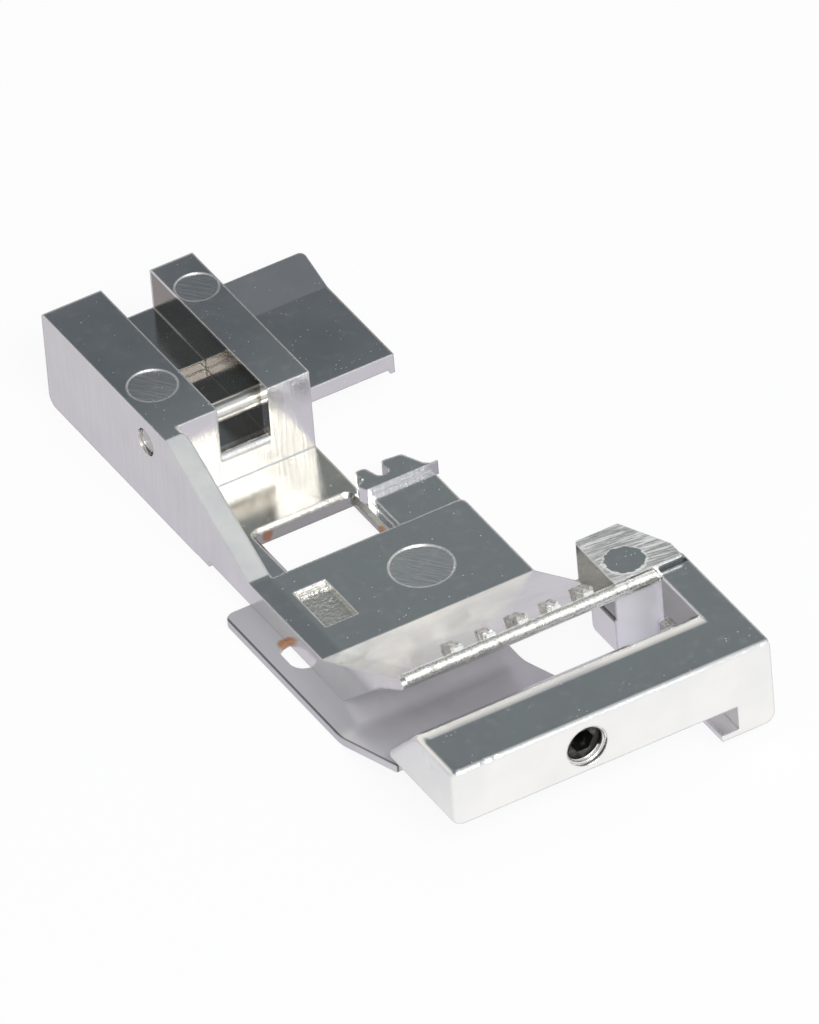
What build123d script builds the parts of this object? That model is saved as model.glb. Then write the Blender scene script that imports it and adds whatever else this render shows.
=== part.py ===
from build123d import *
import os

# Sewing machine presser foot, millimetres. It lies on its sole, front towards -Y, left end towards -X.
# The origin is the middle of its box, on the sole.

# Lengths from the front face to the tail, in the order they follow each other
bar_depth = 5.05
tape_gap = 5.0
apron_run = 11.17
plate_length = 9.23
window_length = 5.9
floor_length = 5.6
cheek_length = 15.65

# Widths from the left end of the front bar to its right end
body_inset = 2.1
left_cheek = 4.45
channel_width = 3.82
right_cheek = 3.18
ledge_width = 4.63
runner_gap = 1.62
leg_foot_width = 4.0

# Heights above the sole
cheek_height = 7.55
frame_height = 7.9
block_height = 8.4
lip_height = 8.1
plate_height = 2.3
ledge_height = 1.95
floor_height = 1.25
bar_underside = 3.65
flange_underside = 1.3

# Stations worked out from the sizes above
width = body_inset + left_cheek + channel_width + right_cheek + ledge_width + runner_gap + leg_foot_width
length = bar_depth + tape_gap + apron_run + plate_length + window_length + floor_length + cheek_length
x_left = -width / 2
x_right = width / 2
x_body = x_left + body_inset
x_slot = x_body + left_cheek
x_slot_end = x_slot + channel_width
x_tail = x_slot_end + right_cheek
x_plate = x_tail + ledge_width
x_runner = x_plate + runner_gap
y_front = -length / 2
y_bar = y_front + bar_depth
y_lip = y_bar + tape_gap
y_apron = y_lip + apron_run
y_plate = y_apron + plate_length
y_window = y_plate + window_length
y_cheek = y_window + floor_length
y_tail = y_cheek + cheek_length

# Sole sheet: flat under the body, then bent up to the underside of the front bar
sheet_thickness = 0.5
sheet_width = 13.9
sheet_flat_end = 15.5
sheet_rise = 0.366
sheet_tail_gap = 0.4
sheet_corner = 0.8
sheet_narrow_start = 7.9
sheet_narrow = 1.6
bend_radius = 4.0
return_bend_radius = 1.5
tab_setback = 3.65
tab_top = 7.0
tab_width = 7.0
tab_bend = 0.3
tab_play = 0.03
sheet_hole_size = (3.55, 3.2)
sheet_hole_place = (1.15, 4.7)
sheet_hole_corner = 1.1

# Snap pin and set screw
pin_diameter = 1.4
pin_setback = 2.0
pin_height = 5.55
pin_head_diameter = 1.9
pin_head_depth = 0.7
pin_head_recess = 0.15
pin_play = 0.01
screw_diameter = 3.0
screw_place = 9.9
screw_height = 5.63
screw_recess = 0.7
screw_socket = 1.5
screw_socket_depth = 1.4
screw_chamfer = 0.2
pin_dome = 0.4
screw_play = 0.02

# Body casting
pin_seat = 2.4
pin_head_play = 0.05
plate_mark_place = (10.26, 4.55)
plate_mark_diameter = 4.4
left_mark_setback = 4.7
left_mark_diameter = 3.4
right_mark_setback = 12.1
right_mark_diameter = 3.0
tick_edge = 0.5
rail_width = 1.6
rail_round = 0.4
rail_start = 0.8
rail_end = 0.4
underside_step = 0.6
pad_slope = 1.8
floor_underside = 0.05
tail_round = 0.8
tail_pad_end = 3.85
wall_underside = sheet_thickness
channel_rear_floor = 4.25
channel_front_floor = 3.5
channel_step = 8.75
edge_round = 0.3
lip_round = 0.42
plate_corner = 0.5
sill_round = 0.5
window_margin = 1.9
window_rim = 0.7
window_corner = 0.35
window_bevel = 0.3
window_front_corner = 1.2
ledge_length = 4.2
hook_height = 2.5
hook_wall = 0.1
fin_width = 0.5
fin_depth = 1.1

# Outline of the stitch hooks: across from the tail's right side, back from the ledge, corner radius
hooks = [
    (-0.25, -hook_wall, 0),
    (-0.6, 0.65, 0.15),
    (0.12, 1.05, 0.25),
    (-0.15, 2.05, 0.3),
    (0.75, 2.0, 0.35),
    (1.15, 0.65, 0.4),
    (2.05, 0.85, 0.35),
    (1.85, 2.1, 0.35),
    (3.5, 1.9, 0.3),
    (4.25, 0.3, 0.2),
    (4.6, 0, 0),
    (4.6, -hook_wall, 0),
]

lip_thickness = 0.9
apron_belly = 2.57
apron_reach = 3.3
tick_count = 5
tick_start = 4.6
tick_pitch = 2.45
tick_length = 1.3
tick_width = 0.75
tick_height = 0.5
recess_size = (2.4, 4.25)
recess_depth = 0.45
recess_place = (1.93, 2.15)
mark_depth = 0.1

# Right leg, its foot and the front bar
block_gap = 0.1
block_length = 5.5
block_step = 0.3
block_shoulder = 0.4
arm_width = 2.3
leg_width = 2.7
arm_chamfer_back = 2.2
arm_chamfer_start = 0.9
flange_thickness = 0.45
runner_depth = 3.3
bar_heel = 3.9
bar_heel_height = 4.0
bar_end_round = 0.6
leg_round = 0.8
bar_edge_round = 0.5
bar_inner_round = 2.6

# Guard wing on the right cheek
wing_reach = 8.3
wing_height = 2.75
wing_thickness = 1.2
wing_start = 3.8
wing_kick = 3.15
wing_tail_height = 3.75
wing_corner = 0.45
wing_lip = 0.35

x_window = x_body + rail_width + window_margin
x_tab = x_left + screw_place
y_tab = y_front + tab_setback
y_bend = y_front + sheet_flat_end
front_plane = Plane(origin=(x_left, y_front, 0), x_dir=(1, 0, 0), z_dir=(0, -1, 0))

os.makedirs("parts", exist_ok=True)


def side(x):
    """Sketch plane across the foot at x, seen from the right: first axis +Y, second axis +Z."""
    return Plane(origin=(x, 0, 0), x_dir=(0, 1, 0), z_dir=(1, 0, 0))


# Slope of the apron, and the height of its underside behind the lip
apron_slope = (lip_height - plate_height) / apron_run
y_belly = y_apron - apron_belly
y_reach = y_lip + apron_reach
lip_under_height = lip_height - apron_slope * apron_reach - lip_thickness - edge_round

with BuildPart() as body:
    # Left wall: the cheek's side, then a rail that slopes down to the plate
    y_pad = y_cheek - tail_pad_end
    with BuildSketch(side(x_body)):
        with BuildLine():
            FilletPolyline(
                (y_tail, 0),
                (y_pad, 0),
                (y_pad - pad_slope, underside_step),
                (y_plate, wall_underside),
                (y_plate, plate_height),
                (y_plate + rail_end, plate_height),
                (y_cheek - rail_start, cheek_height),
                (y_tail, cheek_height),
                radius=[tail_round, 0, 0, 0, 0, 0, 0, edge_round],
                close=True,
            )
        make_face()
    extrude(amount=rail_width)
    slope_edges = body.faces().filter_by(GeomType.PLANE).sort_by(Axis.X)[-1].edges().group_by(Axis.Z)[-2]
    fillet(slope_edges, rail_round)

    # Tail block with both cheeks, its back corner rounded
    with BuildSketch(side(x_body)):
        with BuildLine():
            FilletPolyline(
                (y_cheek, 0),
                (y_tail, 0),
                (y_tail, cheek_height),
                (y_cheek, cheek_height),
                radius=[0, tail_round, edge_round, 0],
                close=True,
            )
        make_face()
    extrude(amount=x_tail - x_body)

    # Floor between the cheeks and the plate, thinner beside the window
    with BuildSketch(Plane.XY.offset(floor_underside)):
        with BuildLine():
            Polyline((x_body, y_window), (x_tail, y_window), (x_tail, y_cheek), (x_body, y_cheek), close=True)
        make_face()
    extrude(amount=floor_height - floor_underside)
    with BuildSketch(Plane.XY.offset(wall_underside)):
        with BuildLine():
            Polyline((x_body, y_plate), (x_tail, y_plate), (x_tail, y_window), (x_body, y_window), close=True)
        make_face()
    extrude(amount=floor_height - wall_underside)

    # Plate and apron: one wedge section that climbs to the lip
    with BuildSketch(side(x_body)):
        with BuildLine():
            FilletPolyline(
                (y_plate, wall_underside),
                (y_plate, plate_height),
                (y_apron, plate_height),
                (y_lip, lip_height),
                (y_lip, lip_height - lip_thickness),
                (y_reach, lip_under_height),
                (y_belly, wall_underside),
                radius=[0, 0, 0, lip_round, edge_round, 0, 0],
                close=True,
            )
        make_face()
    extrude(amount=x_plate - x_body)
    fillet(body.edges().filter_by(Axis.Z).group_by(Axis.X)[-1].sort_by(Axis.Y)[-1], plate_corner)

    # Ledge to the right of the window, with the stitch hooks along its back
    y_ledge = y_plate + ledge_length
    with BuildSketch(Plane.XY.offset(wall_underside)):
        with BuildLine():
            Polyline((x_tail, y_plate), (x_plate, y_plate), (x_plate, y_ledge), (x_tail, y_ledge), close=True)
        make_face()
    extrude(amount=ledge_height - wall_underside)
    with BuildSketch(Plane.XY.offset(wall_underside)):
        with BuildLine():
            FilletPolyline(
                *[(x_tail + across, y_ledge + back) for across, back, _ in hooks],
                radius=[corner for _, _, corner in hooks],
                close=True,
            )
        make_face()
    extrude(amount=hook_height - wall_underside)
    with BuildSketch(Plane.XY.offset(hook_height)):
        with BuildLine():
            Polyline(
                (x_plate - fin_width, y_ledge),
                (x_plate - fin_width, y_ledge - hook_wall),
                (x_plate + fin_width, y_ledge - hook_wall),
                (x_plate + fin_width, y_ledge),
                close=True,
            )
        make_face()
    extrude(amount=-fin_depth)

    # Front frame: the bar with its sloping back and heel
    with BuildSketch(side(x_left)):
        with BuildLine():
            FilletPolyline(
                (y_front, bar_underside),
                (y_bar + bar_heel, bar_underside),
                (y_bar + bar_heel, bar_heel_height),
                (y_bar, frame_height),
                (y_front, frame_height),
                radius=[0, 0, 0, bar_inner_round, bar_edge_round],
                close=True,
            )
        make_face()
    extrude(amount=width)
    end_edges = body.faces().sort_by(Axis.X)[0].edges()
    fillet(end_edges.filter_by_position(Axis.Z, (bar_heel_height + bar_underside) / 2 + 1, frame_height), bar_end_round)

    # Right leg under the bar with a rounded foot, and the arm behind the bar
    x_leg = x_right - leg_width
    x_arm = x_right - arm_width
    y_block = y_lip + block_length
    with BuildSketch(front_plane):
        with BuildLine():
            FilletPolyline(
                (width - leg_width, bar_underside + bar_edge_round),
                (width - leg_width, flange_underside),
                (width, flange_underside),
                (width, bar_underside + bar_edge_round),
                radius=[0, 0, leg_round, 0],
                close=True,
            )
        make_face()
    extrude(amount=y_front - y_lip)
    with BuildSketch(side(x_arm)):
        with BuildLine():
            Polyline(
                (y_bar - bar_inner_round, bar_underside),
                (y_lip, bar_underside),
                (y_lip, flange_underside),
                (y_block, flange_underside),
                (y_block, frame_height),
                (y_bar - bar_inner_round, frame_height),
                close=True,
            )
        make_face()
    extrude(amount=arm_width)

    # Block that ties the apron to the arm: the apron's section carried on, with a raised top
    with BuildSketch(side(x_plate)):
        with BuildLine():
            FilletPolyline(
                (y_block, plate_height + apron_slope * (y_apron - y_block)),
                (y_lip, lip_height),
                (y_lip, lip_height - lip_thickness),
                (y_reach, lip_under_height),
                (y_block, lip_under_height - apron_slope * (y_block - y_reach)),
                radius=[0, lip_round, edge_round, 0, 0],
                close=True,
            )
        make_face()
    extrude(amount=x_arm - x_plate)
    with BuildSketch(Plane.XY.offset(lip_under_height)):
        with BuildLine():
            FilletPolyline(
                (x_plate + block_gap, y_lip + block_step),
                (x_right - block_shoulder, y_lip + block_step),
                (x_right - block_shoulder, y_block),
                (x_plate + block_gap, y_block),
                radius=[0, 0, 0, edge_round],
                close=True,
            )
        make_face()
    extrude(amount=block_height - lip_under_height)

    # Runner wall under the block with one rounded corner, and the thin foot flange ahead of it
    with BuildSketch(Plane(origin=(0, y_lip + edge_round, 0), x_dir=(1, 0, 0), z_dir=(0, -1, 0))):
        with BuildLine():
            FilletPolyline(
                (x_plate, lip_under_height),
                (x_plate, flange_underside),
                (x_right, flange_underside),
                (x_right, lip_under_height),
                radius=[0, runner_gap, 0, 0],
                close=True,
            )
        make_face()
    extrude(amount=-runner_depth)
    with BuildSketch(Plane.XY.offset(flange_underside)):
        with BuildLine():
            Polyline((x_runner, y_front), (x_leg, y_front), (x_leg, y_bar), (x_runner, y_bar), close=True)
        make_face()
    extrude(amount=flange_thickness)

    # The back corner of the block is cut off all the way down
    with BuildSketch(Plane.XY):
        with BuildLine():
            Polyline(
                (x_right, y_lip + arm_chamfer_start),
                (x_right, y_block),
                (x_right - arm_chamfer_back, y_block),
                close=True,
            )
        make_face()
    extrude(amount=block_height, mode=Mode.SUBTRACT)

    # Wing on the right cheek, kicked up towards the tail
    y_wing = y_cheek + wing_start
    y_kick = y_tail - wing_kick
    with BuildSketch(side(x_tail)):
        with BuildLine():
            Polyline(
                (y_wing, wing_height - wing_thickness),
                (y_wing, wing_height),
                (y_kick, wing_height),
                (y_tail, wing_tail_height),
                (y_tail, wing_tail_height - wing_thickness),
                (y_kick, wing_height - wing_thickness),
                close=True,
            )
        make_face()
    extrude(amount=wing_reach)
    fillet(body.edges().filter_by(Axis.Z).group_by(Axis.Y)[-1].sort_by(Axis.X)[-1], wing_corner)
    with BuildSketch(side(x_tail + wing_reach)):
        with BuildLine():
            Polyline(
                (y_wing, wing_height - wing_thickness - wing_lip),
                (y_wing, wing_height - wing_corner),
                (y_kick, wing_height - wing_corner),
                (y_kick, wing_height - wing_thickness - wing_lip),
                close=True,
            )
        make_face()
    extrude(amount=-wing_lip)

    # Channel between the cheeks, with a step and a rounded sill
    with BuildSketch(side(x_slot)):
        with BuildLine():
            Polyline(
                (y_cheek, channel_front_floor),
                (y_cheek + channel_step, channel_front_floor),
                (y_cheek + channel_step, channel_rear_floor),
                (y_tail, channel_rear_floor),
                (y_tail, cheek_height),
                (y_cheek, cheek_height),
                close=True,
            )
        make_face()
    extrude(amount=channel_width, mode=Mode.SUBTRACT)
    sill = body.edges().filter_by(Axis.X).filter_by_position(Axis.Z, channel_front_floor, channel_front_floor)
    fillet(sill.sort_by(Axis.Y)[0], sill_round)

    # Needle window, its front wall in line with the plate
    with BuildSketch(Plane.XY):
        with BuildLine():
            FilletPolyline(
                (x_window, y_plate),
                (x_tail - window_rim, y_plate),
                (x_tail - window_rim, y_window),
                (x_window, y_window),
                radius=[window_front_corner, 0, window_corner, window_corner],
                close=True,
            )
        make_face()
    extrude(amount=floor_height, mode=Mode.SUBTRACT)
    with BuildSketch(Plane.XY.offset(floor_height)):
        with BuildLine():
            FilletPolyline(
                (x_window - window_bevel, y_plate),
                (x_tail - window_rim + window_bevel, y_plate),
                (x_tail - window_rim + window_bevel, y_window + window_bevel),
                (x_window - window_bevel, y_window + window_bevel),
                radius=[window_front_corner, 0, window_corner + window_bevel, window_corner + window_bevel],
                close=True,
            )
        make_face()
    extrude(amount=-window_bevel, taper=45, mode=Mode.SUBTRACT)

    # Recess in the plate and the round ejector marks on the top faces
    with BuildSketch(Plane.XY.offset(plate_height)):
        with Locations((x_body + recess_place[0] + recess_size[0] / 2, y_plate - recess_place[1] - recess_size[1] / 2)):
            Rectangle(*recess_size)
    extrude(amount=-recess_depth, mode=Mode.SUBTRACT)
    with BuildSketch(Plane.XY.offset(plate_height)):
        with Locations((x_body + plate_mark_place[0], y_plate - plate_mark_place[1])):
            Circle(plate_mark_diameter / 2)
    extrude(amount=-mark_depth, mode=Mode.SUBTRACT)
    with BuildSketch(Plane.XY.offset(cheek_height)):
        with Locations((x_body + left_cheek / 2, y_cheek + left_mark_setback)):
            Circle(left_mark_diameter / 2)
        with Locations((x_slot_end + right_cheek / 2, y_cheek + right_mark_setback)):
            Circle(right_mark_diameter / 2)
    extrude(amount=-mark_depth, mode=Mode.SUBTRACT)

    # Raised ticks along the lip, lying on the slope of the apron
    lip_plane = Plane(origin=(x_body, y_lip, lip_height), x_dir=(1, 0, 0), z_dir=(0, apron_slope, 1))
    with BuildSketch(lip_plane):
        with Locations(*[(tick_start + n * tick_pitch, tick_edge + tick_length / 2) for n in range(tick_count)]):
            Rectangle(tick_width, tick_length)
    extrude(amount=tick_height, both=True)

    # Tapped hole for the set screw, and the slot behind it for the tab of the sole sheet
    with BuildSketch(front_plane):
        with Locations((screw_place, screw_height)):
            Circle(screw_diameter / 2 + screw_play)
    extrude(amount=-tab_setback, mode=Mode.SUBTRACT)
    with BuildSketch(Plane.XY.offset(tab_top + tab_play)):
        with Locations((x_tab, y_tab + sheet_thickness / 2)):
            Rectangle(tab_width + 2 * tab_play, sheet_thickness + 2 * tab_play)
    extrude(amount=-tab_top, mode=Mode.SUBTRACT)

    # Cross hole for the snap pin, with a wider mouth for its head
    with BuildSketch(side(x_body)):
        with Locations((y_cheek + pin_setback, pin_height)):
            Circle(pin_diameter / 2 + pin_play)
    extrude(amount=left_cheek + channel_width + pin_seat, mode=Mode.SUBTRACT)
    with BuildSketch(side(x_body)):
        with Locations((y_cheek + pin_setback, pin_height)):
            Circle(pin_head_diameter / 2 + pin_head_play)
    extrude(amount=pin_head_depth, mode=Mode.SUBTRACT)
body.part.label = "foot_body"
export_step(body.part, "parts/foot_body.step")


with BuildPart() as sole:
    # Bent strip: flat under the body, up to the underside of the bar, along it, then up as a tab
    y_sheet_tail = y_plate + sheet_tail_gap
    sheet_under_bar = bar_underside - sheet_thickness - tab_bend
    with BuildSketch(side(x_left)):
        with BuildLine():
            FilletPolyline(
                (y_sheet_tail, 0),
                (y_bend, 0),
                (y_bend - sheet_under_bar / sheet_rise, sheet_under_bar),
                (y_tab, sheet_under_bar),
                (y_tab, tab_top),
                radius=[bend_radius, return_bend_radius, tab_bend + sheet_thickness],
            )
            offset(amount=sheet_thickness, side=Side.RIGHT)
        make_face()
    extrude(amount=sheet_width)

    # The tab is narrower than the strip
    with BuildSketch(Plane.XY.offset(tab_top)):
        with Locations((x_left + sheet_width / 2, y_tab)):
            Rectangle(sheet_width, 2 * sheet_thickness, align=(Align.CENTER, Align.MIN))
            Rectangle(sheet_width, sheet_thickness, align=(Align.CENTER, Align.MAX))
        with Locations((x_tab, y_tab)):
            Rectangle(tab_width, 4 * sheet_thickness, mode=Mode.SUBTRACT)
    extrude(amount=-tab_top, mode=Mode.SUBTRACT)

    # It is cut in at the left where it passes under the bar
    with BuildSketch(Plane.XY):
        with Locations((x_left, y_front)):
            Rectangle(sheet_narrow, sheet_narrow_start, align=(Align.MIN, Align.MIN))
    extrude(amount=tab_top, mode=Mode.SUBTRACT)

    # Hole through the flat, and rounded back corners
    with BuildSketch(Plane.XY):
        with Locations(
            (
                x_left + sheet_hole_place[0] + sheet_hole_size[0] / 2,
                y_sheet_tail - sheet_hole_place[1] - sheet_hole_size[1] / 2,
            )
        ):
            RectangleRounded(*sheet_hole_size, sheet_hole_corner)
    extrude(amount=sheet_thickness, mode=Mode.SUBTRACT)
    fillet(sole.edges().filter_by(Axis.Z).group_by(Axis.Y)[-1], sheet_corner)
sole.part.label = "sole_plate"
export_step(sole.part, "parts/sole_plate.step")


with BuildPart() as pin:
    # Plain pin across the channel, its domed head peened into the left cheek
    with BuildSketch(side(x_body + pin_head_depth)):
        with Locations((y_cheek + pin_setback, pin_height)):
            Circle(pin_diameter / 2)
    extrude(amount=left_cheek + channel_width + pin_seat - pin_head_depth)
    with BuildSketch(side(x_body + pin_head_recess)):
        with Locations((y_cheek + pin_setback, pin_height)):
            Circle(pin_head_diameter / 2)
    extrude(amount=pin_head_depth - pin_head_recess)
    fillet(pin.edges().group_by(Axis.X)[0], pin_dome)
pin.part.label = "snap_pin"
export_step(pin.part, "parts/snap_pin.step")


with BuildPart() as screw:
    # Grub screw with a hexagon socket, its tip against the tab
    with BuildSketch(Plane(origin=(x_left, y_front + screw_recess, 0), x_dir=(1, 0, 0), z_dir=(0, -1, 0))):
        with Locations((screw_place, screw_height)):
            Circle(screw_diameter / 2)
    extrude(amount=screw_recess - tab_setback + screw_play)
    with BuildSketch(Plane(origin=(x_left, y_front + screw_recess, 0), x_dir=(1, 0, 0), z_dir=(0, -1, 0))):
        with Locations((screw_place, screw_height)):
            RegularPolygon(screw_socket / 2, 6, major_radius=False)
    extrude(amount=-screw_socket_depth, mode=Mode.SUBTRACT)
    chamfer(screw.edges().filter_by(GeomType.CIRCLE), screw_chamfer)
screw.part.label = "set_screw"
export_step(screw.part, "parts/set_screw.step")
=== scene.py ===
import bpy
from math import cos, radians, sin
from mathutils import Matrix, Vector


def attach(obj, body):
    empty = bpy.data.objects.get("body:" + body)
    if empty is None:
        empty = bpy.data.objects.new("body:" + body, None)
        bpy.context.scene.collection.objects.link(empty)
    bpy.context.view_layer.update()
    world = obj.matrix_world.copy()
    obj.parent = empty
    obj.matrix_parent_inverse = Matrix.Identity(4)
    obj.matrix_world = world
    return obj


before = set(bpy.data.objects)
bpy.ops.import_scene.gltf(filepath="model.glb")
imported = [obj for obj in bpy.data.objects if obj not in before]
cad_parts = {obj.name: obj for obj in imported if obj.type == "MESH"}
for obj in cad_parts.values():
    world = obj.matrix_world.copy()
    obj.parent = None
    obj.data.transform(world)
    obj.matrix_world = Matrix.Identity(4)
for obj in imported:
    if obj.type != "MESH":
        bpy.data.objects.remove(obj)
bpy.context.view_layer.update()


# Camera. It looks down on the left end of the front bar from far off, turned a little on its own axis,
# as the part was photographed. From that far the part shows nearly no perspective.
mm = 0.001


def place_camera(azimuth, elevation, roll, aim, distance, lens):
    a, e, r = radians(azimuth), radians(elevation), radians(roll)
    back = Vector((sin(a) * cos(e), -cos(a) * cos(e), sin(e)))
    right = Vector((cos(a), sin(a), 0))
    up = back.cross(right)
    turned_right = cos(r) * right + sin(r) * up
    turned_up = -sin(r) * right + cos(r) * up
    data = bpy.data.cameras.new("photo_camera")
    data.lens = lens
    data.clip_end = 100
    camera = bpy.data.objects.new("photo_camera", data)
    bpy.context.collection.objects.link(camera)
    place = Vector(aim) + distance * back
    turn = Matrix((turned_right, turned_up, back)).transposed().to_4x4()
    camera.matrix_world = Matrix.Translation(place) @ turn
    bpy.context.scene.camera = camera


place_camera(azimuth=-27.19, elevation=38.7, roll=-4.98, aim=(2.12 * mm, 1.39 * mm, 3.20 * mm), distance=1.5,
             lens=803.9)


# Casting. One zinc die casting under a thin satin nickel plate. It keeps the grain of the mould on its
# top faces, drawn streaks on its sides, file strokes on the block, and copper where the plate has worn off.
class Nodes:
    """Short ways to add and link the nodes of one tree."""

    def __init__(self, tree):
        self.tree = tree

    def feed(self, node, inputs):
        """Links or sets the inputs of a node."""
        for key, value in inputs.items():
            if isinstance(value, bpy.types.NodeSocket):
                self.tree.links.new(value, node.inputs[key])
            else:
                node.inputs[key].default_value = value

    def add(self, kind, inputs=(), **settings):
        node = self.tree.nodes.new(kind)
        for key, value in settings.items():
            setattr(node, key, value)
        self.feed(node, dict(inputs))
        return node

    def math(self, operation, a, b=0.0, clamp=False):
        return self.add("ShaderNodeMath", {0: a, 1: b}, operation=operation, use_clamp=clamp).outputs[0]

    def span(self, value, low, high, start=0.0, end=1.0):
        """Goes smoothly from start to end while the value goes from low to high."""
        inputs = {"Value": value, "From Min": low, "From Max": high, "To Min": start, "To Max": end}
        return self.add("ShaderNodeMapRange", inputs, interpolation_type="SMOOTHSTEP").outputs[0]

    def blend(self, factor, a, b):
        node = self.add("ShaderNodeMix", data_type="RGBA")
        self.feed(node, {0: factor, 6: a, 7: b})
        return node.outputs[2]

    def noise(self, place, scale, detail, roughness=0.5):
        inputs = {"Vector": place, "Scale": scale, "Detail": detail, "Roughness": roughness}
        return self.add("ShaderNodeTexNoise", inputs).outputs["Fac"]


def new_group(name, inputs, outputs):
    """An empty shader group with its sockets, and its input and output nodes."""
    group = bpy.data.node_groups.new(name, "ShaderNodeTree")
    for label, kind, value in inputs:
        socket = group.interface.new_socket(label, in_out="INPUT", socket_type=kind)
        if value is not None:
            socket.default_value = value
    for label in outputs:
        group.interface.new_socket(label, in_out="OUTPUT", socket_type="NodeSocketFloat")
    n = Nodes(group)
    return group, n, n.add("NodeGroupInput").outputs, n.add("NodeGroupOutput")


def make_pores():
    """Tiny pits and specks left by the mould, as a mask and a height."""
    group, n, given, result = new_group(
        "casting_pores",
        [("Vector", "NodeSocketVector", None), ("Density", "NodeSocketFloat", 0.5)],
        ["Specks", "Height"],
    )
    spots = n.add("ShaderNodeTexVoronoi", {"Vector": given["Vector"], "Scale": 2600.0})
    patches = n.noise(given["Vector"], 700.0, 3.0)
    grain = n.noise(given["Vector"], 9000.0, 4.0)
    small = n.span(spots.outputs["Distance"], 0.16, 0.05)
    chosen = n.span(n.math("MULTIPLY", patches, given["Density"]), 0.28, 0.36)
    specks = n.math("MULTIPLY", small, chosen, clamp=True)
    height = n.math("ADD", n.math("MULTIPLY", grain, 0.35), n.math("MULTIPLY", specks, 0.9))
    n.feed(result, {"Specks": specks, "Height": height})
    return group


def make_streaks():
    """Fine parallel scratches along one direction, as a height and a shade."""
    group, n, given, result = new_group(
        "drawn_streaks",
        [
            ("Vector", "NodeSocketVector", None),
            ("Turn", "NodeSocketVector", (0.0, 0.0, 0.0)),
            ("Fineness", "NodeSocketVector", (4000.0, 4000.0, 120.0)),
        ],
        ["Height", "Shade"],
    )
    turned = n.add("ShaderNodeVectorRotate", {"Vector": given["Vector"], "Rotation": given["Turn"]},
                   rotation_type="EULER_XYZ").outputs[0]
    stretched = n.add("ShaderNodeVectorMath", {0: turned, 1: given["Fineness"]}, operation="MULTIPLY").outputs[0]
    n.feed(result, {"Height": n.noise(stretched, 1.0, 3.0, 0.6), "Shade": n.noise(stretched, 0.16, 2.0)})
    return group


pores = make_pores()
streaks = make_streaks()


def streaks_on(n, place, fineness, turn=0.0):
    """Scratches on a piece: how fine they are along each axis, and their turn about the vertical."""
    inputs = {"Vector": place, "Turn": (0.0, 0.0, turn), "Fineness": fineness}
    return n.add("ShaderNodeGroup", inputs, node_tree=streaks).outputs


def distance_to(n, place, centre):
    centre = tuple(v * mm for v in centre)
    return n.add("ShaderNodeVectorMath", {0: place, 1: centre}, operation="DISTANCE").outputs["Value"]


def place_mask(n, place, centre, radius, soft=0.35, torn=1.0):
    """1 inside a ball round a place on the part, in mm, fading out over its torn edge."""
    ragged = n.math("MULTIPLY", n.math("SUBTRACT", n.noise(place, 2500.0, 3.0), 0.5), radius * torn * mm)
    away = n.math("ADD", distance_to(n, place, centre), ragged)
    return n.span(away, radius * (1 + soft) * mm, radius * (1 - soft) * mm)


def box_mask(n, spot, low, high, soft):
    """1 inside a box along the part's own axes, in mm, fading in over a soft edge. None leaves a side open."""
    mask = 1.0
    for axis, start, end in zip("XYZ", low, high):
        if start is not None:
            mask = n.math("MULTIPLY", mask, n.span(spot.outputs[axis], (start - soft) * mm, start * mm))
        if end is not None:
            mask = n.math("MULTIPLY", mask, n.span(spot.outputs[axis], (end + soft) * mm, end * mm))
    return mask


def disc_masks(n, place, marks):
    """The inside and the rim of round marks, each with its centre and radius in mm."""
    inside, rim = 0.0, 0.0
    for centre, radius in marks:
        away = distance_to(n, place, centre)
        inside = n.math("MAXIMUM", inside, n.span(away, radius * mm, (radius - 0.08) * mm))
        ring = n.math("ABSOLUTE", n.math("SUBTRACT", away, radius * mm))
        rim = n.math("MAXIMUM", rim, n.span(ring, 0.09 * mm, 0.02 * mm))
    return inside, rim


def new_finish(name):
    """A material with its nodes, its shader and the place on the piece."""
    material = bpy.data.materials.new(name)
    material.use_nodes = True
    n = Nodes(material.node_tree)
    place = n.add("ShaderNodeTexCoord").outputs["Object"]
    return material, n, material.node_tree.nodes["Principled BSDF"], place


# Round marks of the ejector pins, and small knocks on the bar's inner edge, front edge and left end
ejector_marks = (((0.46, -2.9, 2.2), 2.2), ((-7.575, 17.85, 7.45), 1.7), ((0.06, 25.25, 7.45), 1.5))
bar_knocks = (
    ((6.9, -23.3, 7.7), 0.32), ((-2.2, -23.2, 7.7), 0.3), ((-3.6, -23.1, 7.75), 0.22), ((8.6, -22.0, 7.8), 0.2),
    ((-9.4, -28.6, 7.6), 0.35), ((-8.6, -28.65, 7.5), 0.3), ((-6.8, -28.7, 7.4), 0.22), ((-11.7, -24.6, 7.0), 0.3),
    ((-11.7, -25.6, 6.6), 0.35),
)


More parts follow.
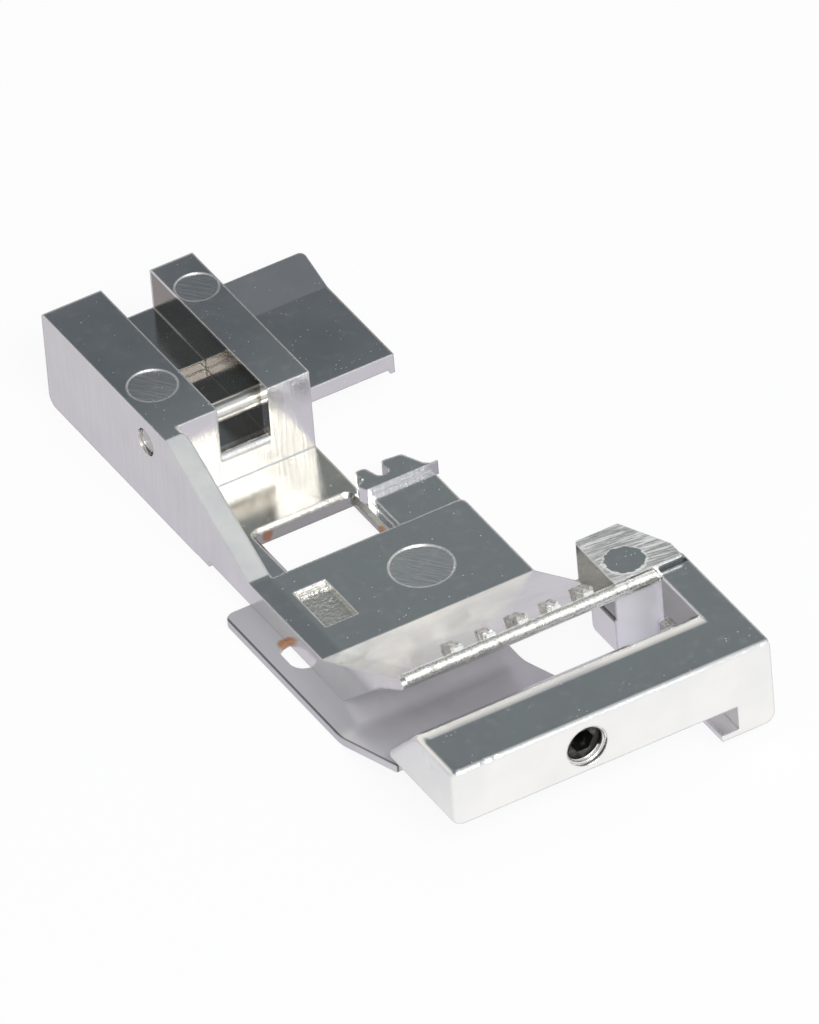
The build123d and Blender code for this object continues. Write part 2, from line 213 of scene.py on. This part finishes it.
def make_casting():
    material, n, shader, place = new_finish("satin_nickel_casting")
    spot = n.add("ShaderNodeSeparateXYZ", {0: place})
    facing = n.add("ShaderNodeSeparateXYZ", {0: n.add("ShaderNodeNewGeometry").outputs["Normal"]})
    up = n.span(facing.outputs["Z"], 0.75, 0.97)
    side = n.math("SUBTRACT", 1.0, up)
    left_side = n.span(facing.outputs["X"], -0.85, -0.97)

    # Grain of the mould, and the strokes of the tools
    skin = n.add("ShaderNodeGroup", {"Vector": place, "Density": 0.58}, node_tree=pores).outputs
    drawn = streaks_on(n, place, (3800.0, 3800.0, 160.0))
    filed = streaks_on(n, place, (450.0, 6500.0, 450.0), 0.12)
    scored = streaks_on(n, place, (500.0, 5000.0, 500.0), 0.9)
    scratched = streaks_on(n, place, (700.0, 16000.0, 700.0), -0.5)
    cloud = n.noise(place, 260.0, 4.0)
    haze = n.noise(place, 900.0, 5.0, 0.7)
    grit = n.noise(place, 3600.0, 3.0)
    uneven = n.math("MULTIPLY", n.span(cloud, 0.3, 0.75), n.span(up, 0.0, 1.0, 0.3, 1.0))
    scuffs = n.math("MULTIPLY", n.span(scratched["Height"], 0.62, 0.7), n.span(n.noise(place, 420.0, 2.0), 0.54, 0.68))
    scuffs = n.math("MULTIPLY", n.math("MULTIPLY", scuffs, up), 0.5)

    # Block: filed all over its top but for a round patch. Plate: round marks and a rough recess
    block_top = n.math("MULTIPLY", up, n.span(spot.outputs["Z"], 8.2 * mm, 8.35 * mm))
    patch = n.math("MULTIPLY", block_top, place_mask(n, place, (8.15, -16.75, 8.4), 1.45, 0.09, 0.35))
    patch_rim = n.math("MULTIPLY", n.span(patch, 0.02, 0.3), n.span(patch, 0.98, 0.7))
    strokes = n.math("MULTIPLY", block_top, n.math("SUBTRACT", 1.0, patch))
    lines = n.math("MULTIPLY", strokes, n.span(filed["Height"], 0.5, 0.6))
    inside, rim = disc_masks(n, place, ejector_marks)
    recess = box_mask(n, spot, (-7.85, -4.75, None), (-5.5, -0.5, 2.0), 0.05)
    recess = n.math("MULTIPLY", recess, n.span(spot.outputs["Z"], 1.7 * mm, 1.8 * mm))
    nicks = 0.0
    for centre, radius in bar_knocks:
        nicks = n.math("MAXIMUM", nicks, place_mask(n, place, centre, radius, 0.5))

    # Streaks on the left wall, two worn spots, and places with painted shade and painted reflections, because the
    # mirrored room alone doesn't give their tone. The real plate has one colour, so these painted tints stand in for
    # the light and shade there
    channel =box_mask(n, spot, (-5.45, 14.2, 1.5), (-1.4, 28.6, 7.3), 0.04)
    left_wall = n.math("MULTIPLY", left_side, box_mask(n, spot, (None, -20, None), (-9.7, None, None), 0.05))
    streaked = n.math("MULTIPLY", left_wall, n.span(drawn["Height"], 0.42, 0.62))
    bar_end = n.math("MULTIPLY", left_side, box_mask(n, spot, (None, None, None), (-10.5, -20, None), 0.3))
    tail_top = n.math("MULTIPLY", up, n.span(spot.outputs["Y"], 9 * mm, 20 * mm))
    beside_plate = n.math("MULTIPLY", up, box_mask(n, spot, (None, -18, None), (-8.6, 1.5, 8), 0.5))
    block_flank = box_mask(n, spot, (6.2, -18.4, 5.0), (6.5, -13.2, 8.25), 0.08)
    arm_inside = box_mask(n, spot, (9.05, -23.9, None), (9.7, -18.9, 7.6), 0.06)
    window_rim = box_mask(n, spot, (-6.75, 1.2, None), (1.4, 8.0, 1.2), 0.04)
    window_rim = n.math("MULTIPLY", window_rim, n.span(facing.outputs["Z"], 0.95, 0.85))
    under_lip = box_mask(n, spot, (6.0, -18.8, None), (9.6, -18.3, 7.1), 0.08)
    tail_floor = box_mask(n, spot, (-8.2, 7.7, 0.3), (1.6, 13.0, 3.4), 0.1)
    hook_front = n.math("MULTIPLY", side, box_mask(n, spot, (1.7, 1.75, 1.2), (None, 9.5, 4.0), 0.05))
    block_end = box_mask(n, spot, (9.75, -18.6, 6.0), (11.8, -18.3, 8.2), 0.05)
    window_left_corner = place_mask(n, place, (-5.3, 7.6, 0.6), 0.42)
    window_right_edge = place_mask(n, place, (1.0, 3.4, 0.8), 0.4)

    plate_colour = (0.92, 0.915, 0.90, 1)
    dull_colour = (0.74, 0.75, 0.76, 1)
    speck_colour = (0.97, 0.97, 0.95, 1)
    stroke_colour = (0.97, 0.97, 0.96, 1)
    recess_colour = (0.62, 0.61, 0.57, 1)
    # Painted shade: the channel between the cheeks is darkened nearly to black with this
    channel_shade_colour = (0.24, 0.215, 0.175, 1)
    streak_colour = (0.78, 0.775, 0.775, 1)
    # Painted shade: the tops towards the tail, and less so the strip beside the plate, are darkened with this
    tail_shade_colour = (0.50, 0.50, 0.53, 1)
    # Painted shade on the block's flank, the arm's inside and the walls of the window
    painted_shade_colour = (0.40, 0.40, 0.375, 1)
    # Painted reflection: the walls under the lip are tinted pale lavender with this
    lavender_reflection_colour = (0.95, 0.935, 0.99, 1)
    # Painted reflection: the floor at the tail is tinted warm with this
    warm_reflection_colour = (0.95, 0.90, 0.82, 1)
    # Painted shade on the hook's front faces
    hook_shade_colour = (0.60, 0.595, 0.62, 1)
    # Painted shade: the strip at the block's end is darkened nearly to black with this
    dark_colour = (0.19, 0.205, 0.215, 1)
    copper_colour = (0.46, 0.25, 0.16, 1)
    colour = plate_colour
    for mask, much, tone in (
        (uneven, 1.0, dull_colour),
        (n.math("MULTIPLY", skin["Specks"], up), 1.0, speck_colour),
        (lines, 1.0, stroke_colour),
        (recess, 0.85, recess_colour),
        (channel, 0.85, channel_shade_colour),
        (streaked, 0.22, streak_colour),
        (tail_top, 0.9, tail_shade_colour),
        (beside_plate, 0.45, tail_shade_colour),
        (n.math("MAXIMUM", block_flank, arm_inside), 1.0, painted_shade_colour),
        (window_rim, 0.85, painted_shade_colour),
        (under_lip, 1.0, lavender_reflection_colour),
        (tail_floor, 1.0, warm_reflection_colour),
        (hook_front, 1.0, hook_shade_colour),
        (block_end, 1.0, dark_colour),
        (n.math("MAXIMUM", window_left_corner, window_right_edge), 1.0, copper_colour),
    ):
        colour = n.blend(n.math("MULTIPLY", mask, much), colour, tone)

    roughness = n.span(cloud, 0.2, 0.8, 0.10, 0.19)
    for more in (
        n.span(haze, 0.5, 0.75, 0.0, 0.07),
        n.math("MULTIPLY", under_lip, 0.3),
        n.math("MULTIPLY", skin["Specks"], 0.3),
        n.span(n.math("MAXIMUM", n.math("MULTIPLY", inside, 0.4), strokes), 0.0, 1.0, 0.0, 0.16),
        n.math("MULTIPLY", n.math("MAXIMUM", rim, recess), 0.22),
    ):
        roughness = n.math("ADD", roughness, more, clamp=True)

    height = n.math("MULTIPLY", skin["Height"], n.span(channel, 0.0, 1.0, 0.5, 0.0))
    for relief, where, much in (
        (drawn["Height"], side, 0.8),
        (filed["Height"], strokes, 14.0),
        (scored["Height"], inside, 2.2),
        (rim, 1.0, 3.0),
        (patch, 1.0, -8.0),
        (grit, recess, 14.0),
        (nicks, 1.0, -6.0),
    ):
        height = n.math("ADD", height, n.math("MULTIPLY", n.math("MULTIPLY", relief, where), much))
    rounded = n.add("ShaderNodeBevel", {"Radius": 0.2 * mm}, samples=4).outputs[0]
    bump = n.add("ShaderNodeBump", {"Height": height, "Strength": 0.3, "Distance": 0.02 * mm, "Normal": rounded})

    # Light marks, and two faces that come out pale in the photo, scatter the light more than they mirror it
    light_marks = skin["Specks"]
    for mark in (lines, scuffs, under_lip, bar_end, patch_rim):
        light_marks = n.math("MAXIMUM", light_marks, mark)
    n.feed(shader, {"Base Color": colour, "Roughness": roughness, "Normal": bump.outputs[0],
                    "Metallic": n.span(light_marks, 0.0, 1.0, 1.0, 0.45)})
    return material


def dress(name, material):
    """Gives a node of the frame its finish."""
    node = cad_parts[name]
    node.data.materials.clear()
    node.data.materials.append(material)


dress("foot_body", make_casting())


# Lip bead. The mould left a grainy round bead of metal along the lip, from its left end to the arm.
# It is one rod with its surface thrown up by a coarse and a fine grain.
def new_shape(name, sockets):
    """An empty geometry group with its named inputs."""
    tree = bpy.data.node_groups.new(name, "GeometryNodeTree")
    for label, kind in (*sockets, ("Finish", "Material")):
        tree.interface.new_socket(label, in_out="INPUT", socket_type=f"NodeSocket{kind}")
    tree.interface.new_socket("Geometry", in_out="OUTPUT", socket_type="NodeSocketGeometry")
    n = Nodes(tree)
    return n, n.add("NodeGroupInput").outputs


def roughen(n, geometry, scale, grain, seed):
    """Moves each point of a mesh in or out by a fixed noise."""
    noise = n.add("ShaderNodeTexNoise", {"W": seed, "Scale": scale, "Detail": 3.0}, noise_dimensions="4D")
    amount = n.math("MULTIPLY", n.math("SUBTRACT", noise.outputs[0], 0.5), grain)
    outwards = n.add("GeometryNodeInputNormal").outputs[0]
    offset = n.add("ShaderNodeVectorMath", {0: outwards, "Scale": amount}, operation="SCALE").outputs[0]
    return n.add("GeometryNodeSetPosition", {"Geometry": geometry, "Offset": offset}).outputs[0]


def grow(name, n, geometry, finish, place, sizes):
    """Ends a geometry group and keeps what it makes as one plain mesh in its place."""
    real = n.add("GeometryNodeRealizeInstances", {0: geometry})
    dressed = n.add("GeometryNodeSetMaterial", {"Geometry": real.outputs[0], "Material": finish})
    n.add("NodeGroupOutput", {0: dressed.outputs[0]})
    seed = bpy.data.objects.new(name + "_seed", bpy.data.meshes.new(name + "_seed"))
    bpy.context.collection.objects.link(seed)
    modifier = seed.modifiers.new(name, "NODES")
    modifier.node_group = n.tree
    for item in n.tree.interface.items_tree:
        if item.in_out == "INPUT":
            modifier[item.identifier] = sizes[item.name]
    mesh = bpy.data.meshes.new_from_object(seed.evaluated_get(bpy.context.evaluated_depsgraph_get()))
    mesh.transform(place)
    bpy.data.objects.remove(seed)
    piece = bpy.data.objects.new(name, mesh)
    bpy.context.collection.objects.link(piece)
    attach(piece, "root")


def make_grainy_nickel(name, bright_colour, pit_colour):
    material, n, shader, place = new_finish(name)
    grain = n.noise(place, 9000.0, 3.0)
    pits = n.span(n.noise(place, 2600.0, 2.0), 0.56, 0.70)
    bump = n.add("ShaderNodeBump", {"Height": grain, "Strength": 0.7, "Distance": 0.03 * mm})
    n.feed(shader, {"Base Color": n.blend(pits, bright_colour, pit_colour), "Metallic": 0.9,
                    "Roughness": n.span(grain, 0.3, 0.7, 0.22, 0.42), "Normal": bump.outputs[0]})
    return material


def lay_bead(name, place, length, radius, grain, seed):
    rings_along, sides_round = 340, 22
    coarse_scale, fine_scale, fine_share = 1700.0, 5200.0, 0.6
    n, given = new_shape("lip_bead", [("Length", "Float"), ("Radius", "Float"), ("Grain", "Float"), ("Seed", "Float")])
    end = n.add("ShaderNodeCombineXYZ", {0: given["Length"]}).outputs[0]
    run = n.add("GeometryNodeCurvePrimitiveLine", {"End": end})
    divided = n.add("GeometryNodeResampleCurve", {"Curve": run.outputs[0], "Count": rings_along})
    along = n.add("GeometryNodeSplineParameter").outputs["Factor"]
    from_end = n.math("MINIMUM", along, n.math("SUBTRACT", 1.0, along))
    taper = n.span(from_end, -0.01, 0.012, 0.1, 1)
    tapered = n.add("GeometryNodeSetCurveRadius", {"Curve": divided.outputs[0], "Radius": taper})
    ring = n.add("GeometryNodeCurvePrimitiveCircle", {"Resolution": sides_round, "Radius": given["Radius"]})
    rod = n.add("GeometryNodeCurveToMesh", {"Curve": tapered.outputs[0], "Profile Curve": ring.outputs[0],
                                            "Fill Caps": True})
    coarse = roughen(n, rod.outputs[0], coarse_scale, given["Grain"], given["Seed"])
    geometry = roughen(n, coarse, fine_scale, n.math("MULTIPLY", given["Grain"], fine_share), given["Seed"])
    grow(name, n, geometry, given["Finish"], Matrix.Translation(place),
         {"Length": length, "Radius": radius, "Grain": grain, "Seed": seed,
          "Finish": make_grainy_nickel("grainy_bead", (0.95, 0.94, 0.90, 1), (0.62, 0.60, 0.54, 1))})


lay_bead("lip_bead", (-9.5 * mm, -18.36 * mm, 7.66 * mm), length=18.9 * mm, radius=0.45 * mm, grain=0.09 * mm, seed=3.0)


# Lip ticks. Five short burrs lie on the apron behind the bead, over the casting's own ticks. Each is split
# along its top and a little different from the next.
def lay_ticks(name, place, count, pitch, size, split, seed):
    n, given = new_shape("lip_ticks", [("Count", "Int"), ("Pitch", "Float"), ("Size", "Vector"), ("Split", "Float"),
                                       ("Seed", "Int")])
    bar = n.add("GeometryNodeMeshCube", {"Size": given["Size"], "Vertices X": 13, "Vertices Y": 31, "Vertices Z": 4})
    spot = n.add("ShaderNodeSeparateXYZ", {0: n.add("GeometryNodeInputPosition").outputs[0]})
    size_of = n.add("ShaderNodeSeparateXYZ", {0: given["Size"]})

    # Two ridges with a groove between them, falling off towards the bead and turned up a little at the back
    across = n.math("DIVIDE", n.math("ABSOLUTE", spot.outputs["X"]), size_of.outputs["X"])
    along = n.math("DIVIDE", spot.outputs["Y"], size_of.outputs["Y"])
    ridges = n.math("MULTIPLY", n.span(across, 0.08, 0.3), n.span(across, 0.52, 0.38, 0.3, 1.0))
    raised = n.math("MULTIPLY", ridges, n.span(along, 0.5, 0.25, 0.1, 1.0))
    raised = n.math("ADD", raised, n.span(along, -0.3, -0.44, 0.0, 0.3))
    lift = n.add("ShaderNodeCombineXYZ", {2: n.math("MULTIPLY", raised, given["Split"])}).outputs[0]
    top = n.math("GREATER_THAN", spot.outputs["Z"], 0.1 * mm)
    burr = n.add("GeometryNodeSetPosition", {"Geometry": bar.outputs[0], "Selection": top, "Offset": lift})
    step = n.add("ShaderNodeCombineXYZ", {0: given["Pitch"]}).outputs[0]
    row = n.add("GeometryNodeMeshLine", {"Count": given["Count"], "Offset": step})

    # No two are alike: each is turned, sized and torn a little on its own
    least_turn, most_turn = (0.0, 0.0, -0.14), (0.0, 0.0, 0.1)
    least_size, most_size = (0.9, 0.85, 0.9), (1.15, 1.1, 1.2)
    torn_scale, torn_depth, torn_seed = 2600.0, 0.07 * mm, 1.0
    turn = n.add("FunctionNodeRandomValue", {0: least_turn, 1: most_turn, "Seed": given["Seed"]},
                 data_type="FLOAT_VECTOR")
    scale = n.add("FunctionNodeRandomValue", {0: least_size, 1: most_size, "Seed": given["Seed"]},
                  data_type="FLOAT_VECTOR")
    placed = n.add("GeometryNodeInstanceOnPoints", {"Points": row.outputs[0], "Instance": burr.outputs[0],
                                                    "Rotation": turn.outputs[0], "Scale": scale.outputs[0]})
    real = n.add("GeometryNodeRealizeInstances", {0: placed.outputs[0]}).outputs[0]
    geometry = roughen(n, real, torn_scale, torn_depth, torn_seed)
    grow(name, n, geometry, given["Finish"], place,
         {"Count": count, "Pitch": pitch, "Size": size, "Split": split, "Seed": seed,
          "Finish": make_grainy_nickel("torn_burr", (0.56, 0.55, 0.53, 1), (0.26, 0.25, 0.235, 1))})


apron_slope = Matrix.Rotation(radians(-27.8), 4, "X")
lay_ticks("lip_ticks", Matrix.Translation((-5.2 * mm, -17.22 * mm, 7.41 * mm)) @ apron_slope, count=5, pitch=2.45 * mm,
          size=(0.8 * mm, 2.05 * mm, 0.72 * mm), split=0.17 * mm, seed=4)


# Sole sheet. One strip of thin rolled steel, polished on both sides. It is bent up below the lip, lies
# against the underside of the bar and is clamped there by its tab.
def make_rolled_sheet():
    material, n, shader, place = new_finish("polished_rolled_sheet")
    spot = n.add("ShaderNodeSeparateXYZ", {0: place}).outputs
    drawn = streaks_on(n, place, (3500.0, 90.0, 3500.0))
    sheet_colour = (0.77, 0.755, 0.79, 1)
    shade_colour = (0.64, 0.63, 0.655, 1)
    edge_colour = (0.20, 0.195, 0.20, 1)
    copper_colour = (0.60, 0.32, 0.19, 1)
    left_edge = n.math("MULTIPLY", n.span(spot["X"], -11.88 * mm, -11.84 * mm),
                       n.span(spot["X"], -11.66 * mm, -11.74 * mm))
    slot_end = place_mask(n, place, (-10.0, -2.7, 0.45), 0.45)
    colour = n.blend(drawn["Shade"], sheet_colour, shade_colour)
    colour = n.blend(left_edge, colour, edge_colour)
    colour = n.blend(slot_end, colour, copper_colour)
    rounded = n.add("ShaderNodeBevel", {"Radius": 0.08 * mm}, samples=6).outputs[0]
    bump = n.add("ShaderNodeBump", {"Height": drawn["Height"], "Strength": 0.12, "Distance": 0.01 * mm,
                                    "Normal": rounded})

    # Only partly metallic, and less so towards the bar, to meet the pale tone that the photo shows
    n.feed(shader, {"Base Color": colour, "Roughness": n.span(drawn["Shade"], 0.2, 0.8, 0.28, 0.36),
                    "Metallic": n.span(spot["Y"], -19 * mm, -14 * mm, 0.15, 0.5), "Normal": bump.outputs[0]})
    return material


dress("sole_plate", make_rolled_sheet())


# Snap pin. A ground steel pin pressed through both cheeks, its domed end peened in the left one.
# Grinding left fine rings round it.
def make_ground_steel():
    material, n, shader, place = new_finish("ground_steel")
    rings = streaks_on(n, place, (6000.0, 300.0, 300.0))
    bright_colour = (0.78, 0.77, 0.73, 1)
    dark_colour = (0.60, 0.59, 0.55, 1)
    bump = n.add("ShaderNodeBump", {"Height": rings["Height"], "Strength": 0.2, "Distance": 0.01 * mm})
    n.feed(shader, {"Base Color": n.blend(rings["Shade"], bright_colour, dark_colour), "Metallic": 1.0,
                    "Roughness": n.span(rings["Shade"], 0.2, 0.8, 0.18, 0.32), "Normal": bump.outputs[0]})
    return material


dress("snap_pin", make_ground_steel())


# Set screw. A grub screw with a hexagon socket, blackened, turned in below the front face of the bar.
# The black is rubbed thin in small patches all over.
def make_black_steel():
    material, n, shader, place = new_finish("blackened_steel")
    wear = n.noise(place, 1800.0, 4.0)
    black_colour = (0.025, 0.024, 0.023, 1)
    rubbed_colour = (0.16, 0.15, 0.14, 1)
    n.feed(shader, {"Base Color": n.blend(n.span(wear, 0.5, 0.8), black_colour, rubbed_colour), "Metallic": 0.6,
                    "Roughness": n.span(wear, 0.2, 0.8, 0.3, 0.5)})
    return material


dress("set_screw", make_black_steel())


# Thread of the set screw's hole. The turns that the tap cut in the bar show ahead of the screw, bright and
# bare. One coil is wound by a spiral and a three-sided cutter profile.
def make_bare_thread():
    material, n, shader, place = new_finish("bare_cut_thread")
    torn = n.noise(place, 2200.0, 4.0)
    bright_colour = (0.93, 0.92, 0.89, 1)
    burr_colour = (0.70, 0.68, 0.63, 1)
    bump = n.add("ShaderNodeBump", {"Height": torn, "Strength": 0.3, "Distance": 0.03 * mm})
    n.feed(shader, {"Base Color": n.blend(n.span(torn, 0.4, 0.7), bright_colour, burr_colour), "Metallic": 0.8,
                    "Roughness": n.span(torn, 0.3, 0.7, 0.25, 0.45), "Normal": bump.outputs[0]})
    return material


def wind_thread(name, place, radius, pitch, turns, depth):
    n, given = new_shape("tapped_thread", [("Radius", "Float"), ("Pitch", "Float"), ("Turns", "Float"),
                                           ("Depth", "Float")])
    rise = n.math("MULTIPLY", given["Pitch"], given["Turns"])
    coil = n.add("GeometryNodeCurveSpiral", {"Resolution": 48, "Rotations": given["Turns"], "Height": rise,
                                             "Start Radius": given["Radius"], "End Radius": given["Radius"]})
    cutter = n.add("GeometryNodeCurvePrimitiveCircle", {"Resolution": 3, "Radius": given["Depth"]})
    ridge = n.add("GeometryNodeCurveToMesh", {"Curve": coil.outputs[0], "Profile Curve": cutter.outputs[0],
                                              "Fill Caps": True})
    grow(name, n, ridge.outputs[0], given["Finish"], place,
         {"Radius": radius, "Pitch": pitch, "Turns": turns, "Depth": depth, "Finish": make_bare_thread()})


into_the_bar = Matrix.Rotation(radians(-90), 4, "X")
wind_thread("screw_hole_thread", Matrix.Translation((-2.0 * mm, -28.65 * mm, 5.63 * mm)) @ into_the_bar,
            radius=1.47 * mm, pitch=0.32 * mm, turns=1.9, depth=0.13 * mm)


# Table. A plain white table under the part. The tone that the metal mirrors is set by place, darker behind
# the bar and close to the part, to stand for the shade there.
def make_table():
    half, below = 1.2, 0.02 * mm
    mesh = bpy.data.meshes.new("table")
    mesh.from_pydata([(-half, -half, -below), (half, -half, -below), (half, half, -below), (-half, half, -below)],
                     [], [(0, 1, 2, 3)])
    table = bpy.data.objects.new("table", mesh)
    bpy.context.collection.objects.link(table)
    material, n, unused_shader, place = new_finish("white_table")
    n.tree.nodes.remove(unused_shader)
    path = n.add("ShaderNodeLightPath").outputs
    spot = n.add("ShaderNodeSeparateXYZ", {0: place}).outputs
    behind_bar = n.span(spot["Y"], -29 * mm, -13 * mm)
    beside = n.span(n.math("ABSOLUTE", spot["X"]), 14 * mm, 9 * mm)
    along = n.span(n.math("ABSOLUTE", spot["Y"]), 32 * mm, 25 * mm)
    front_colour = (1.0, 0.995, 1.0, 1)
    back_colour = (0.61, 0.59, 0.63, 1)
    near_colour = (0.60, 0.58, 0.64, 1)
    mirrored = n.blend(behind_bar, front_colour, back_colour)
    mirrored = n.blend(n.math("MULTIPLY", beside, along), mirrored, near_colour)
    matt = n.add("ShaderNodeBsdfDiffuse", {"Color": (0.93, 0.93, 0.93, 1)}).outputs[0]
    glow = n.add("ShaderNodeEmission", {"Color": (1, 1, 1, 1), "Strength": 1.0}).outputs[0]
    shine = n.add("ShaderNodeEmission", {"Color": mirrored, "Strength": 1.0}).outputs[0]
    glow_share = 0.9
    seen = n.add("ShaderNodeMixShader", {0: glow_share, 1: matt, 2: glow}).outputs[0]
    straight = n.add("ShaderNodeMixShader", {0: path["Is Camera Ray"], 1: matt, 2: seen}).outputs[0]
    whole = n.add("ShaderNodeMixShader", {0: path["Is Glossy Ray"], 1: straight, 2: shine}).outputs[0]
    n.feed(n.tree.nodes["Material Output"], {"Surface": whole})
    mesh.materials.append(material)


make_table()


# Light. The room that the metal mirrors is pale near the horizon and dark blue-grey above, with a bright
# front wall and a softbox over the part. One large soft lamp at the front lights the rest.
def make_room():
    world = bpy.data.worlds.new("studio")
    bpy.context.scene.world = world
    world.use_nodes = True
    n = Nodes(world.node_tree)
    n.tree.nodes.clear()
    ray = n.add("ShaderNodeTexCoord").outputs["Generated"]
    axes = n.add("ShaderNodeSeparateXYZ", {0: ray}).outputs
    ramp = n.add("ShaderNodeValToRGB", {"Fac": axes["Z"]})
    heights_and_tones = [
        (0.0, (0.92, 0.89, 0.85)), (0.30, (0.86, 0.84, 0.81)), (0.44, (0.72, 0.71, 0.69)),
        (0.53, (0.40, 0.41, 0.41)), (0.60, (0.165, 0.19, 0.20)), (1.0, (0.20, 0.22, 0.23)),
    ]
    while len(ramp.color_ramp.elements) < len(heights_and_tones):
        ramp.color_ramp.elements.new(0.5)
    for element, (height, tone) in zip(ramp.color_ramp.elements, heights_and_tones):
        element.position = height
        element.color = (*tone, 1)
    box_direction = (0.1, -0.35, 0.93)
    box_colour = (0.93, 0.945, 0.95, 1)
    towards = n.add("ShaderNodeVectorMath", {0: ray, 1: box_direction}, operation="DOT_PRODUCT").outputs["Value"]
    softbox = n.math("MULTIPLY", n.span(towards, 0.76, 0.97), 0.75)
    front_wall = n.math("MULTIPLY", n.span(axes["Y"], -0.05, -0.45), n.span(axes["Z"], 0.15, 0.55, 1.0, 0.6))
    mirrored = n.blend(n.math("MAXIMUM", softbox, front_wall), ramp.outputs[0], box_colour)
    path = n.add("ShaderNodeLightPath").outputs
    room = n.add("ShaderNodeBackground", {"Color": mirrored, "Strength": 1.0}).outputs[0]
    soft = n.add("ShaderNodeBackground", {"Color": (0.8, 0.81, 0.83, 1), "Strength": 0.7}).outputs[0]
    paper = n.add("ShaderNodeBackground", {"Color": (1, 1, 1, 1), "Strength": 1.0}).outputs[0]
    lit = n.add("ShaderNodeMixShader", {0: path["Is Glossy Ray"], 1: soft, 2: room}).outputs[0]
    whole = n.add("ShaderNodeMixShader", {0: path["Is Camera Ray"], 1: lit, 2: paper}).outputs[0]
    n.add("ShaderNodeOutputWorld", {"Surface": whole})


make_room()


def area_lamp(name, place, target, size, power):
    data = bpy.data.lights.new(name, "AREA")
    data.shape = "RECTANGLE"
    data.size, data.size_y = size
    data.energy = power
    lamp = bpy.data.objects.new(name, data)
    bpy.context.collection.objects.link(lamp)
    lamp.location = place
    lamp.rotation_euler = (Vector(target) - Vector(place)).to_track_quat("-Z", "Y").to_euler()


area_lamp("front_softbox", place=(-0.05, -0.45, 0.42), target=(0, 0, 0), size=(0.5, 0.25), power=2.2)

bpy.context.scene.view_settings.view_transform = "Standard"
